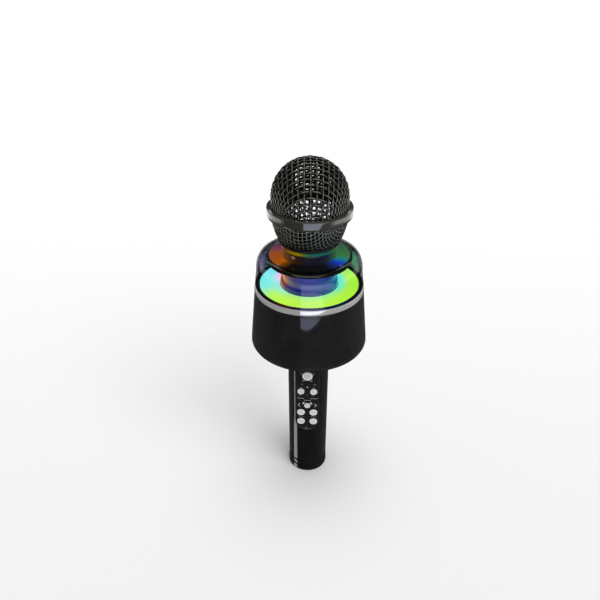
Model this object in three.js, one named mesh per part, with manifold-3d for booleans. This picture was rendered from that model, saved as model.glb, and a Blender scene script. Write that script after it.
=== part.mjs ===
// Karaoke microphone with a woven ball head, a lit clear dome, a round speaker and a handle with a
// control panel. Millimetres, +Z up, origin at the centre of the flat base, panel facing -Y.
import * as THREE from 'three';
import { mergeVertices } from 'three/addons/utils/BufferGeometryUtils.js';
import Module from 'manifold-3d';

const wasm = await Module();
wasm.setup();

// ---- Driving dimensions -----------------------------------------------------------------------
const GAP = 0.3;                  // clearance between neighbouring solids
const SEG_LARGE = 32;             // facets round the shells
const SEG_SMALL = 20;             // facets round the inner pieces
const SEG_BUTTON = 16;            // facets round a button

const HANDLE = { rTop: 14.75, rLow: 14.56, bore: 12.4, zLow: 10, zTop: 127 };
const TAIL = { spigotR: 13.2, boreR: 12.2, capTop: 4.8, ringLow: 5.5, ringTop: 9.3, r: 14.55 };
const PANEL = { halfW: 9, zLow: 43.2, zTop: 101.7, corner: 2.5, curveR: 60, frontY: -13.1, backY: -10.9 };
const BUTTON = { column: 4.6, flangeFront: -10.8, flangeBack: -10.1, travel: 0.6 };
const BOARD = { frontY: -8.5, backY: -7.7, halfW: 8.5, zLow: 14, zTop: 106 };
const CELL = { r: 9.1, y: 1.7, zLow: 12.6, length: 65 };

const SPEAKER = { rLow: 40.1, rTop: 36.55, zLow: 120.3, zSleeve: 123.5, zTop: 161.8, skin: 0.8 };
const DRIVER = { z: 150.8, flangeR: 28.6, coneR: 23.6, magnetR: 16.5 };
const DECK = { z: 159.6, thick: 1.4, r: 35.6 };

const DOME = { rLow: 36.1, zLow: 166.1, rWall: 34.9, zWall: 176.6, rTop: 28.1, zTop: 188, skin: 1.8 };
const DIFFUSER = { r: 32.9, rHole: 19.9, zTop: 166, thick: 1.3 };
const NECK = { rTube: 15.2, rBore: 12.4, rCollar: 18.1, rRing: 15.6, zTop: 200 };
const BALL = { r: 24.9, z: 225.8, skin: 2 };
const CONE = { rLow: 20.9, zLow: 199.1, rBend: 23.8, zBend: 209.6, rTop: 24.2, zTop: 217.9 };
const BAND = { r: 27.1, rIn: 25.2, zLow: 213.9, zTop: 220.6, edge: 0.6 };

// ---- Materials --------------------------------------------------------------------------------
const material = (color, roughness, metalness = 0) =>
  new THREE.MeshStandardMaterial({ color, roughness, metalness });
const GLOSS_BLACK = material(0x0c0c0d, 0.12);
const SATIN_BLACK = material(0x18181a, 0.45);
const MESH_METAL = material(0x3c3d38, 0.35, 1);
const BAND_METAL = material(0x8c8c86, 0.25, 1);
const CHROME = material(0xd8d8d8, 0.12, 1);
const SMOKE = material(0x2a2a2e, 0.05);
const MILKY = material(0xbdf07a, 0.4);
const COLUMN_BLUE = material(0x2b2f8c, 0.08);
const BUTTON_SILVER = material(0xd4d7d6, 0.3, 0.4);
const RUBBER = material(0x161616, 0.85);
const BOARD_GREEN = material(0x0e4a2c, 0.5);
const STEEL = material(0xa0a2a4, 0.35, 1);
const CELL_WRAP = material(0x2a5aa8, 0.4);
const CARDBOARD = material(0x1d1c1a, 0.9);

// ---- Solids -----------------------------------------------------------------------------------
// A geometry as a manifold-3d solid, turned right side out.
function solid(geometry) {
  const bare = geometry.clone();
  bare.deleteAttribute('normal');
  bare.deleteAttribute('uv');
  const merged = mergeVertices(bare, 1e-4);
  const triVerts = new Uint32Array(merged.index.array);
  const vertProperties = new Float32Array(merged.attributes.position.array);
  const made = new wasm.Manifold(new wasm.Mesh({ numProp: 3, vertProperties, triVerts }));
  if (made.volume() > 0) return made;
  for (let i = 0; i < triVerts.length; i += 3) {
    [triVerts[i + 1], triVerts[i + 2]] = [triVerts[i + 2], triVerts[i + 1]];
  }
  return new wasm.Manifold(new wasm.Mesh({ numProp: 3, vertProperties, triVerts }));
}

// A solid as a three.js geometry.
function geometryOf(made) {
  const mesh = made.getMesh();
  const geometry = new THREE.BufferGeometry();
  geometry.setAttribute('position', new THREE.BufferAttribute(new Float32Array(mesh.vertProperties), 3));
  geometry.setIndex(new THREE.BufferAttribute(new Uint32Array(mesh.triVerts), 1));
  geometry.computeVertexNormals();
  return geometry;
}

// A profile of [radius, height] points turned about the Z axis. It closes itself off the axis.
function turned(profile, segments = SEG_LARGE) {
  const points = profile.map(([r, z]) => new THREE.Vector2(r, z));
  const onAxis = profile[0][0] === 0 && profile[profile.length - 1][0] === 0;
  if (!onAxis) points.push(points[0].clone());
  return solid(new THREE.LatheGeometry(points, segments).rotateX(Math.PI / 2));
}

// A plain ring between two radii and two heights.
const ring = (rIn, rOut, zLow, zTop, segments = SEG_LARGE) =>
  turned([[rIn, zLow], [rOut, zLow], [rOut, zTop], [rIn, zTop]], segments);

// A block given by its low and high corners.
function block([x0, y0, z0], [x1, y1, z1]) {
  const geometry = new THREE.BoxGeometry(x1 - x0, y1 - y0, z1 - z0);
  return solid(geometry.translate((x0 + x1) / 2, (y0 + y1) / 2, (z0 + z1) / 2));
}

// An upright rod, and a rod that points along Y.
const upright = (r, x, y, zLow, zTop, segments = SEG_BUTTON) =>
  solid(new THREE.CylinderGeometry(r, r, zTop - zLow, segments)
    .rotateX(Math.PI / 2).translate(x, y, (zLow + zTop) / 2));
const along = (r, x, z, yFront, yBack, segments = SEG_BUTTON) =>
  solid(new THREE.CylinderGeometry(r, r, yBack - yFront, segments).translate(x, (yFront + yBack) / 2, z));

const join = (first, ...rest) => rest.reduce((sum, part) => sum.add(part), first);
const cut = (from, ...tools) => tools.reduce((left, tool) => left.subtract(tool), from);

// The points of an elliptical arc in a profile, from one angle to another.
function arc(rCentre, zCentre, rHalf, zHalf, from, to, steps) {
  return Array.from({ length: steps + 1 }, (_, i) => {
    const a = from + ((to - from) * i) / steps;
    return [rCentre + rHalf * Math.cos(a), zCentre + zHalf * Math.sin(a)];
  });
}

// A round cable through a list of points.
function cable(radius, points, steps) {
  const section = new THREE.Shape();
  section.absarc(0, 0, radius, 0, 2 * Math.PI);
  const path = new THREE.CatmullRomCurve3(points.map((p) => new THREE.Vector3(...p)), false, 'centripetal');
  return solid(new THREE.ExtrudeGeometry(section, { extrudePath: path, steps, curveSegments: 4 }));
}

const root = new THREE.Group();
function add(name, made, finish) {
  const mesh = new THREE.Mesh(geometryOf(made), finish);
  mesh.name = name;
  root.add(mesh);
}

// ---- Head: woven ball, band, collar and the capsule inside --------------------------------------
function head() {
  const ballIn = BALL.r - BALL.skin;
  const skirtZ = CONE.zTop + GAP;
  add('upper_grille', turned([
    [BALL.r, skirtZ],
    ...arc(0, BALL.z, BALL.r, BALL.r, 0, Math.PI / 2, 6).slice(0, -1), [0, BALL.z + BALL.r],
    [0, BALL.z + ballIn], ...arc(0, BALL.z, ballIn, ballIn, Math.PI / 2, 0, 5).slice(1),
    [ballIn, skirtZ],
  ]), MESH_METAL);

  add('lower_grille', turned([
    [CONE.rLow, CONE.zLow], [CONE.rBend, CONE.zBend], [CONE.rTop, BAND.zLow], [BALL.r, BAND.zLow + 1.4],
    [BALL.r, CONE.zTop], [ballIn, CONE.zTop], [ballIn, BAND.zLow + 1.4], [CONE.rTop - BALL.skin, BAND.zLow],
    [CONE.rBend - BALL.skin, CONE.zBend], [CONE.rLow - BALL.skin, CONE.zLow],
  ]), MESH_METAL);

  add('grille_band', turned([
    [BAND.rIn, BAND.zLow], [BAND.r - BAND.edge, BAND.zLow], [BAND.r, BAND.zLow + 2 * BAND.edge],
    [BAND.r, BAND.zTop - 2 * BAND.edge], [BAND.r - BAND.edge, BAND.zTop], [BAND.rIn, BAND.zTop],
  ]), BAND_METAL);

  add('grille_collar', turned([
    [NECK.rRing, 196.1], [19, 196.1], [20, 197], [20.6, 198.8], [NECK.rRing, 198.8],
  ], SEG_SMALL), SATIN_BLACK);
  add('head_washer', ring(NECK.rRing, 17.9, 195, 195.8, SEG_SMALL), SMOKE);

  add('capsule_mount', cut(
    turned([[0, 197.6], [12, 197.6], [12, 199.4], [0, 199.4]], SEG_SMALL),
    upright(1.6, 0, 9, 197, 200),
  ), SATIN_BLACK);
  add('capsule_boot', ring(5.2, 7, 199.6, 204.4, SEG_SMALL), RUBBER);
  add('capsule', turned([[0, 199.7], [4.85, 199.7], [4.85, 205.2], [0, 205.2]], SEG_SMALL), STEEL);
}

// ---- Neck and light chamber ---------------------------------------------------------------------
function lightChamber() {
  const flangeZ = DECK.z + DECK.thick + GAP;
  add('neck_tube', turned([
    [NECK.rBore, flangeZ], [19, flangeZ], [19, flangeZ + 1.2], [NECK.rTube, flangeZ + 1.2],
    [NECK.rTube, NECK.zTop], [NECK.rBore, NECK.zTop],
  ], SEG_SMALL), SATIN_BLACK);

  const screwAngle = (32 * Math.PI) / 180;
  const screw = (r, from, to) => solid(new THREE.CylinderGeometry(r, r, to - from, SEG_BUTTON)
    .rotateZ(Math.PI / 2).translate((from + to) / 2, 0, 0)
    .rotateZ(-Math.PI / 2 - screwAngle).translate(0, 0, 191.4));
  add('neck_collar', cut(turned([
    [NECK.rRing, 187.5], [NECK.rCollar, 187.5], [NECK.rCollar, 194.2], [17.7, 194.7], [NECK.rRing, 194.7],
  ], SEG_SMALL), screw(1.3, 16.2, 19)), GLOSS_BLACK);
  add('collar_screw', screw(1, 16.6, 18.4), STEEL);

  const discR = 26.2;
  add('top_disc', ring(NECK.rRing, discR, 185.7, 187.1, SEG_SMALL), SMOKE);
  add('dome_trim', ring(discR + GAP, 27.8, 183.6, 186, SEG_SMALL), GLOSS_BLACK);
  const arcOut = arc(DOME.rTop, DOME.zWall, DOME.rWall - DOME.rTop, DOME.zTop - DOME.zWall, 0, Math.PI / 2, 4);
  const arcIn = arc(DOME.rTop, DOME.zWall, DOME.rWall - DOME.skin - DOME.rTop,
    DOME.zTop - DOME.skin - DOME.zWall, Math.PI / 2, 0, 3);
  add('dome_shell', turned([
    [DOME.rLow, DOME.zLow], ...arcOut, [discR + GAP, DOME.zTop], [discR + GAP, DOME.zTop - DOME.skin + 0.1],
    ...arcIn, [DOME.rLow - DOME.skin, DOME.zLow],
  ]), SMOKE);

  add('light_column', ring(NECK.rRing, 17.6, 169.5, 185.4, SEG_SMALL), COLUMN_BLUE);
  add('column_base', turned([
    [NECK.rRing, 163.2], [19.5, 163.2], [19.5, 168.4], [19, 169.2], [NECK.rRing, 169.2],
  ], SEG_SMALL), COLUMN_BLUE);
  add('led_diffuser', ring(DIFFUSER.rHole, DIFFUSER.r, DIFFUSER.zTop - DIFFUSER.thick, DIFFUSER.zTop,
    SEG_SMALL), MILKY);

  const ledSize = 5, ledHeight = 1.4, ledRadius = 27, ledCount = 8, boardTop = flangeZ + 1;
  const lamps = Array.from({ length: ledCount }, (_, i) => {
    const lamp = new THREE.BoxGeometry(ledSize, ledSize, ledHeight + 0.4);
    return solid(lamp.translate(ledRadius, 0, boardTop + ledHeight / 2 - 0.2)
      .rotateZ(((i + 0.5) * 2 * Math.PI) / ledCount));
  });
  add('led_board', join(ring(21.5, 32.8, flangeZ, boardTop, SEG_SMALL), ...lamps), BOARD_GREEN);
  add('dome_seat', ring(DIFFUSER.r + GAP, 35.2, flangeZ, 166.1), SATIN_BLACK);
  add('chrome_ring', turned([
    [35.6, 162.1], [36.5, 162.1], [36.65, 162.3], [36.35, 165.5], [36.15, 165.8], [35.6, 165.8],
  ]), CHROME);
}

// ---- Speaker ------------------------------------------------------------------------------------
function speaker() {
  add('led_deck', ring(11, DECK.r, DECK.z, DECK.z + DECK.thick, SEG_SMALL), SATIN_BLACK);
  add('speaker_sleeve', turned([
    [SPEAKER.rLow - SPEAKER.skin, SPEAKER.zSleeve], [SPEAKER.rLow, SPEAKER.zSleeve],
    [SPEAKER.rTop, SPEAKER.zTop], [SPEAKER.rTop - SPEAKER.skin, SPEAKER.zTop],
  ]), SATIN_BLACK);

  const windowLow = 153.2, windowTop = 157.8, windowCount = 8, windowWidth = 19;
  const windows = Array.from({ length: windowCount }, (_, i) => solid(
    new THREE.BoxGeometry(12, windowWidth, windowTop - windowLow)
      .translate(36, 0, (windowLow + windowTop) / 2).rotateZ((i * 2 * Math.PI) / windowCount),
  ));
  add('speaker_cage', cut(turned([
    [37, 125.7], [38.6, 125.7], [35.6, 159.3], [34.1, 159.3],
  ]), ...windows), SATIN_BLACK);

  add('speaker_base', turned([
    [14.95, SPEAKER.zLow], [38.7, SPEAKER.zLow], [SPEAKER.rLow, 121.7], [SPEAKER.rLow, 123.2], [38.9, 123.2],
    [38.9, 125.3], [37.2, 125.3], [37.2, 123.3], [14.95, 123.3],
  ]), SATIN_BLACK);
  add('handle_nut', ring(15, 18.4, 123.6, 126.8, SEG_SMALL), STEEL);

  const top = DRIVER.z;
  add('driver_deck', cut(ring(26.2, 34.6, top - 3, top - 1.5, SEG_SMALL), upright(1.6, 0, 31, top - 4, top)),
    SATIN_BLACK);
  add('driver_basket', join(turned([
    [DRIVER.flangeR, top - 1.2], [DRIVER.flangeR, top], [24.4, top], [24.4, top - 1.4], [14, top - 9.8],
    [7.6, top - 9.8], [7.6, top - 11.2], [15, top - 11.2], [25.6, top - 2.6], [25.6, top - 1.2],
  ], SEG_SMALL), block([15, 6, top - 9], [22, 10, top - 7.8])), STEEL);
  add('driver_magnet', turned([
    [0, top - 20], [DRIVER.magnetR, top - 20], [DRIVER.magnetR, top - 11.5], [7.2, top - 11.5],
    [7.2, top - 16.6], [5.9, top - 16.6], [5.9, top - 9.6], [0, top - 9.6],
  ], SEG_SMALL), STEEL);
  add('driver_cone', turned([
    [0, top - 4.2], [4.5, top - 4.8], [7, top - 6.2], [DRIVER.coneR, top - 0.3], [DRIVER.coneR, top - 0.9],
    [6.85, top - 7], [6.85, top - 14], [6.4, top - 14], [6.4, top - 6.7], [4.3, top - 5.3], [0, top - 4.7],
  ], SEG_SMALL), CARDBOARD);
  add('driver_surround', turned([
    [24.7, top + 0.2], [28, top + 0.2], [27.5, top + 1], [26.3, top + 1.4], [25.2, top + 1],
  ], SEG_SMALL), RUBBER);
  add('sound_deflector', cut(
    turned([[0, 152.8], [5, 153.8], [19, 159.3], [0, 159.3]], SEG_SMALL),
    block([-1.6, 7.4, 150], [1.6, 20, 162]),
  ), SATIN_BLACK);
}

// ---- Handle, panel and tail ---------------------------------------------------------------------
// The panel's outline, round at the bottom: a shape in X and Z, thinned all round by an inset.
function panelPrism(inset, yFront, yBack) {
  const w = PANEL.halfW - inset;
  const roundZ = PANEL.zLow + PANEL.halfW;
  const top = PANEL.zTop - inset;
  const shape = new THREE.Shape();
  shape.moveTo(-w, roundZ);
  shape.absarc(0, roundZ, w, Math.PI, 2 * Math.PI);
  shape.lineTo(w, top - PANEL.corner);
  shape.absarc(w - PANEL.corner, top - PANEL.corner, PANEL.corner, 0, Math.PI / 2);
  shape.absarc(-w + PANEL.corner, top - PANEL.corner, PANEL.corner, Math.PI / 2, Math.PI);
  const slab = new THREE.ExtrudeGeometry(shape, { depth: yBack - yFront, bevelEnabled: false, curveSegments: 9 });
  return solid(slab.rotateX(Math.PI / 2).translate(0, yBack, 0));
}

// name, x, z, cap radius, flange radius, front of the cap
const BUTTONS = [
  ['power_button', 0, 95.4, 3.65, 4.4, -13.8],
  ['play_button', 0, 67.5, 2.25, 3, -13.6],
  ['previous_button', -BUTTON.column, 60.6, 2.85, 3.6, -13.3],
  ['next_button', BUTTON.column, 60.6, 2.85, 3.6, -13.3],
  ['record_button', -BUTTON.column, 51.7, 2.85, 3.6, -13.3],
  ['mode_button', BUTTON.column, 51.7, 2.85, 3.6, -13.3],
];
const KNOB = { z: 81.9, r: 2.5, front: -14.8, back: -13.4, stemW: 1.6, stemH: 2.4, stemBack: -9.9, travel: 3 };
const LAMP = { r: 0.5, z: 85 };
const KNOBS = [['volume_knob', -BUTTON.column], ['echo_knob', BUTTON.column]];

function handle() {
  add('handle_tube', cut(turned([
    [TAIL.spigotR, 2.7], [TAIL.spigotR, HANDLE.zLow], [HANDLE.rLow, HANDLE.zLow], [HANDLE.rTop, HANDLE.zTop],
    [HANDLE.bore, HANDLE.zTop], [HANDLE.bore, 11], [TAIL.boreR, 11], [TAIL.boreR, 2.7],
  ]), panelPrism(0, -16, -5)), GLOSS_BLACK);

  const face = solid(new THREE.CylinderGeometry(PANEL.curveR, PANEL.curveR, 80, 96)
    .rotateX(Math.PI / 2).translate(0, PANEL.frontY + PANEL.curveR, 73));
  const holes = BUTTONS.map(([, x, z, r]) => along(r + GAP, x, z, -20, -5));
  const slotH = KNOB.stemH / 2 + KNOB.travel + GAP;
  const slots = KNOBS.map(([, x]) => block([x - KNOB.stemW / 2 - GAP, -20, KNOB.z - slotH],
    [x + KNOB.stemW / 2 + GAP, -5, KNOB.z + slotH]));
  add('panel_plate', cut(panelPrism(GAP, -16, PANEL.backY).intersect(face), ...holes, ...slots,
    along(LAMP.r + GAP, 0, LAMP.z, -20, -5, 12)), GLOSS_BLACK);
  add('status_lamp', along(LAMP.r, 0, LAMP.z, -13.3, -9.4, 12), MILKY);

  for (const [name, x, z, r, flangeR, front] of BUTTONS) {
    const chamfer = 0.4;
    const cap = new THREE.LatheGeometry([[0, BUTTON.flangeBack], [flangeR, BUTTON.flangeBack],
      [flangeR, BUTTON.flangeFront], [r, BUTTON.flangeFront], [r, front + chamfer], [r - chamfer, front], [0, front],
    ].map(([a, b]) => new THREE.Vector2(a, b)), SEG_BUTTON);
    add(name, solid(cap.translate(x, 0, z)), BUTTON_SILVER);
  }
  for (const [name, x] of KNOBS) {
    const chamfer = 0.5;
    const cap = new THREE.LatheGeometry([[0, KNOB.back], [KNOB.r, KNOB.back], [KNOB.r, KNOB.front + chamfer],
      [KNOB.r - chamfer, KNOB.front], [0, KNOB.front]].map(([a, b]) => new THREE.Vector2(a, b)), SEG_BUTTON);
    const stem = block([x - KNOB.stemW / 2, KNOB.back - 0.5, KNOB.z - KNOB.stemH / 2],
      [x + KNOB.stemW / 2, KNOB.stemBack, KNOB.z + KNOB.stemH / 2]);
    add(name, join(solid(cap.translate(x, 0, KNOB.z)), stem), BUTTON_SILVER);
    add(name.replace('knob', 'slider'), block([x - 2.2, -9.5, KNOB.z - 6.2],
      [x + 2.2, BOARD.frontY - 0.1, KNOB.z + 6.2]), STEEL);
  }

  // The switches under the buttons and the two chips are soldered to the board, so they are one piece with it.
  const soldered = 0.2;
  const switches = BUTTONS.map(([, x, z]) => block([x - 1.5, BUTTON.flangeBack + BUTTON.travel + 0.1, z - 1.5],
    [x + 1.5, BOARD.frontY + soldered, z + 1.5]));
  add('main_board', join(
    block([-BOARD.halfW, BOARD.frontY, BOARD.zLow], [BOARD.halfW, BOARD.backY, BOARD.zTop]), ...switches,
    block([-5, BOARD.frontY - 1.1, 22], [5, BOARD.frontY + soldered, 36]),
    block([-3, BOARD.backY - soldered, 84], [3, BOARD.backY + 1.2, 90]),
  ), BOARD_GREEN);
  add('battery_cell', upright(CELL.r, 0, CELL.y, CELL.zLow, CELL.zLow + CELL.length, SEG_SMALL), CELL_WRAP);
  add('battery_pad', block([-4, CELL.y + CELL.r + 0.1, 24], [4, 11.5, 64]), RUBBER);
}

function tail() {
  add('tail_ring', ring(TAIL.spigotR + GAP, TAIL.r, TAIL.ringLow, TAIL.ringTop), GLOSS_BLACK);
  const screwX = 9.6, portLow = 2.7, boardLow = 9, auxY = 9;
  const screwHoles = [-screwX, screwX].flatMap((x) => [upright(1.3, x, 0, -1, 5), upright(2.3, x, 0, -1, 1.6)]);
  add('tail_cap', cut(
    turned([[0, 0], [14.1, 0], [TAIL.r, 0.5], [TAIL.r, TAIL.capTop], [TAIL.spigotR + GAP, TAIL.capTop],
      [TAIL.spigotR + GAP, 2.4], [0, 2.4]]),
    block([-4.2, -7.7, -1], [4.2, -4.3, 5]),
    block([-6.4, 3.2, -1], [6.4, 5, 5]),
    upright(2, 0, auxY, -1, 5),
    ...screwHoles,
  ), GLOSS_BLACK);
  add('tail_board', turned([[0, boardLow], [11.8, boardLow], [11.8, boardLow + 1], [0, boardLow + 1]], SEG_SMALL),
    BOARD_GREEN);
  add('charge_socket', cut(block([-3.9, -7.4, portLow], [3.9, -4.6, boardLow - 0.1]),
    block([-3.3, -6.8, portLow - 1], [3.3, -5.2, portLow + 5])), STEEL);
  add('card_socket', cut(block([-6.6, 2.9, portLow], [6.6, 5.3, boardLow - 0.1]),
    block([-5.8, 3.6, portLow - 1], [5.8, 4.6, portLow + 5])), STEEL);
  add('aux_socket', cut(upright(2.9, 0, auxY, portLow, boardLow - 0.1),
    upright(1.8, 0, auxY, portLow - 1, portLow + 5)), SATIN_BLACK);
  [-screwX, screwX].forEach((x, i) => add(`tail_screw_${i + 1}`,
    join(upright(2, x, 0, 0.4, 1.3), upright(0.95, x, 0, 1.2, boardLow - 0.2)), STEEL));
}

// ---- Inner cables, each held all the way along its route -----------------------------------------
function cables() {
  add('head_cable', cable(0.9, [
    [0, 9, 199.2], [0, 9, 190], [0, 8.5, 175], [0, 9, 162], [0, 9, 157], [0, 12, 154.2], [0, 20, 153.9],
    [0, 28, 153.6], [0, 31, 150.5], [0, 31, 146], [0, 29, 134], [0, 22, 130], [0, 13, 129.6], [0, 9, 126],
    [0, 3, 116], [0, -4, 106], [0, -6.5, 99],
  ], 36), RUBBER);
  add('speaker_cable', cable(0.8, [
    [20, 8, 141.5], [20.5, 8, 134], [17, 7, 129], [11, 6, 128.6], [7, 4, 124], [5, -1, 114], [5, -6.3, 104],
    [5, -6.6, 98],
  ], 22), RUBBER);
  add('battery_cable', cable(0.8, [
    [-4, 1.7, 78.2], [-4, 1.2, 82], [-5, -2, 87], [-5, -6.2, 91], [-5, -6.7, 96],
  ], 14), RUBBER);
}

head();
lightChamber();
speaker();
handle();
tail();
cables();

export default root;
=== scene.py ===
"""A karaoke microphone: woven ball head, lit smoke-clear dome, perforated loudspeaker and button panel."""

from math import ceil, copysign, cos, hypot, pi, radians, sin, sqrt, tau

import bpy
from mathutils import Matrix, Vector


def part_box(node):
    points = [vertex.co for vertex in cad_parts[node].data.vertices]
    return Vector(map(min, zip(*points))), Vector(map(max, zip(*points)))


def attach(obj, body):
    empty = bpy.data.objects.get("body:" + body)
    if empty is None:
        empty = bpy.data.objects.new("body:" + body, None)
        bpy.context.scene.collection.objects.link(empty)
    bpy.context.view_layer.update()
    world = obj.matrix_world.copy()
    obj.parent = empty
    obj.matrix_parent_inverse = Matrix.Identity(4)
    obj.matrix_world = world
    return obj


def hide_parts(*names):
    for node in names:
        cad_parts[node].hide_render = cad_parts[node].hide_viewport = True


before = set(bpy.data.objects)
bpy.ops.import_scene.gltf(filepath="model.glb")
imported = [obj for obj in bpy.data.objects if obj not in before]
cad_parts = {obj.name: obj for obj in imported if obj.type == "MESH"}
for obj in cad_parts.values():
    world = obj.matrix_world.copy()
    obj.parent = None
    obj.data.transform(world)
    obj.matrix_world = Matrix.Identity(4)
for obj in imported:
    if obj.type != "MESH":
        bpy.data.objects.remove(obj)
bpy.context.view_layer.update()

MM = 0.001
BODY = "microphone"
AROUND = 160          # facets round a large turned piece
BORE = 15.7           # radius of the hole through the rings stacked on the neck tube
PANEL_CURVE = 60.0    # radius of the panel's crowned front
PANEL_AHEAD = -16     # a depth in front of the panel, where the blanks it is cut from begin
WAIST = 10.0          # height where the handle's tube steps in to take the tail band
FLANGE = 0.75         # how far a button's hidden flange reaches beyond its cap
SMOKE_PASS = 0.17     # how much light the clear dome's wall lets through, seen square on

FRONT_TURN = 3.4      # degrees that the camera stands round to the right of the panel
CAMERA_DOWN = 31.91   # degrees that the camera looks down
CAMERA_LENS = 34.26   # focal length on a sensor 36 wide
CAMERA_PLACE = (-0.00613, -0.3304, 0.3571)   # in metres, before the turn


# ---- Places read from the frame, in millimetres ----
def low(node):
    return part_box(node)[0] / MM


def high(node):
    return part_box(node)[1] / MM


def middle(node):
    return (low(node) + high(node)) / 2


def span(node):
    """A turned node's lowest and highest Z, and its outer radius."""
    return low(node).z, high(node).z, high(node).x


_, BALL_TOP, BALL_R = span("upper_grille")
BALL_Z = BALL_TOP - BALL_R
BAND_LOW, BAND_TOP, BAND_R = span("grille_band")
CUP_LOW = low("lower_grille").z
NECK_LOW, _, NECK_R = span("neck_collar")
DOME_LOW, DOME_TOP, DOME_R = span("dome_shell")
LENS_LOW, LENS_TOP, LENS_R = span("led_diffuser")
SLEEVE_LOW, SLEEVE_TOP, SLEEVE_R = span("speaker_sleeve")
RING_LOW, RING_TOP, RING_R = span("chrome_ring")
HANDLE_LOW, HANDLE_TOP, HANDLE_R = span("handle_tube")
PANEL_LOW, PANEL_TOP, PANEL_HALF = span("panel_plate")
PANEL_FRONT, PANEL_BACK = low("panel_plate").y, high("panel_plate").y


# ---- Mesh helpers ----
def linked(name, data):
    """A new object in the scene that holds a mesh, a light or a camera."""
    made = bpy.data.objects.new(name, data)
    bpy.context.scene.collection.objects.link(made)
    return made


def meshed(name, verts, faces, unit=1):
    """A new mesh object in the scene, from points measured in a unit."""
    mesh = bpy.data.meshes.new(name)
    mesh.from_pydata([Vector(v) * unit for v in verts], [], faces)
    return linked(name, mesh)


def piece(name, verts, faces, finish, slot, replaces=(), body=BODY, crease=32):
    """A mesh object from points in millimetres that rides on a body and takes the place of CAD nodes."""
    made = meshed(name, verts, faces, MM)
    made.data.validate()
    made.data.shade_smooth()
    made.data.set_sharp_from_angle(angle=radians(crease))
    made.data.materials.append(finish)
    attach(made, body)
    if replaces:
        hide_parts(*replaces)
    return made


def arc(cr, cz, hr, hz, start, end, steps, fullness=2.0):
    """Points of an elliptical arc in a profile, between two angles in degrees. Above 2 it is fuller."""
    turns = [radians(start + (end - start) * i / steps) for i in range(steps + 1)]

    def share(value):
        return copysign(abs(value) ** (2 / fullness), value)
    return [(cr + hr * share(cos(a)), cz + hz * share(sin(a))) for a in turns]


def rounded(outline, radius, steps=4):
    """A closed outline with every corner turned into a short curve."""
    out = []
    for i, corner in enumerate(outline):
        p = Vector(corner)
        before, after = Vector(outline[i - 1]), Vector(outline[(i + 1) % len(outline)])
        a = p + (before - p).normalized() * min(radius, (before - p).length * 0.45)
        b = p + (after - p).normalized() * min(radius, (after - p).length * 0.45)
        for k in range(steps + 1):
            t = k / steps
            out.append(tuple(a * (1 - t) ** 2 + p * (2 * t * (1 - t)) + b * t ** 2))
    return out


def loft(rows, closed=False, flip=False):
    """Points and faces of a skin over rows of points, each a loop. The ends are capped, or meet if closed."""
    count, total = len(rows[0]), len(rows)
    verts = [tuple(point) for row in rows for point in row]
    faces = []
    for k in range(total if closed else total - 1):
        here, there = k * count, (k + 1) % total * count
        for i in range(count):
            j = (i + 1) % count
            faces.append((here + i, here + j, there + j, there + i))
    if not closed:
        faces += [tuple(reversed(range(count))), tuple(range(len(verts) - count, len(verts)))]
    return verts, [(f[0], *f[:0:-1]) for f in faces] if flip else faces


def turned(outline, around=AROUND):
    """Points and faces of a closed (radius, height) outline turned about the Z axis."""
    turns = [tau * k / around for k in range(around)]
    rows = [[(r * cos(a), r * sin(a), z) for r, z in outline] for a in turns]
    area = sum(p[0] * q[1] - q[0] * p[1] for p, q in zip(outline, outline[1:] + outline[:1]))
    return loft(rows, closed=True, flip=area > 0)


def domed(outline, around=48):
    """As turned(), for an open outline that starts and ends on the axis."""
    inner = outline[1:-1]
    verts, faces, count = [], [], len(inner)
    first, last = around * count, around * count + 1
    for k in range(around):
        a = tau * k / around
        verts += [(r * cos(a), r * sin(a), z) for r, z in inner]
        here, there = k * count, (k + 1) % around * count
        faces += [(here + i, there + i, there + i + 1, here + i + 1) for i in range(count - 1)]
        faces += [(first, there, here), (last, here + count - 1, there + count - 1)]
    return verts + [(0, 0, outline[0][1]), (0, 0, outline[-1][1])], faces


def rod(radius, start, end, around=48):
    """A closed cylinder about the Z axis."""
    return domed([(0, start), (radius, start), (radius, end), (0, end)], around)


def oblong(left, right, bottom, top):
    """The four corners of a rectangle."""
    return [(left, bottom), (right, bottom), (right, top), (left, top)]


def ring(name, outline, soft, finish, slot, *nodes, around=AROUND):
    """A piece turned from an outline with softened corners, in place of CAD nodes."""
    return piece(name, *turned(rounded(outline, soft), around), finish, slot, nodes)


def placed(shape, matrix):
    verts, faces = shape
    return [tuple(matrix @ Vector(v)) for v in verts], faces


def merged(*shapes):
    verts, faces = [], []
    for more_verts, more_faces in shapes:
        base = len(verts)
        verts += more_verts
        faces += [tuple(base + v for v in f) for f in more_faces]
    return verts, faces


def swept(paths, radius, sides):
    """Round wires along paths of (point, normal) pairs, closed at both ends."""
    turns = [tau * s / sides for s in range(sides)]
    wires = []
    for path in paths:
        rows, last = [], len(path) - 1
        for k, (point, normal) in enumerate(path):
            ahead = path[min(k + 1, last)][0] - path[max(k - 1, 0)][0]
            side = ahead.cross(normal).normalized()
            up = side.cross(ahead).normalized()
            rows.append([point + (side * cos(a) + up * sin(a)) * radius for a in turns])
        wires.append(loft(rows))
    return merged(*wires)


def slab(outline, front, back):
    """A closed (x, z) outline given a thickness along Y."""
    return loft([[(x, y, z) for x, z in outline] for y in (back, front)])


def pit(outline, top=5):
    """A closed (x, y) outline as a solid that cuts upwards from below the tail."""
    return loft([[(x, y, z) for x, y in outline] for z in (-1, top)])


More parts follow.
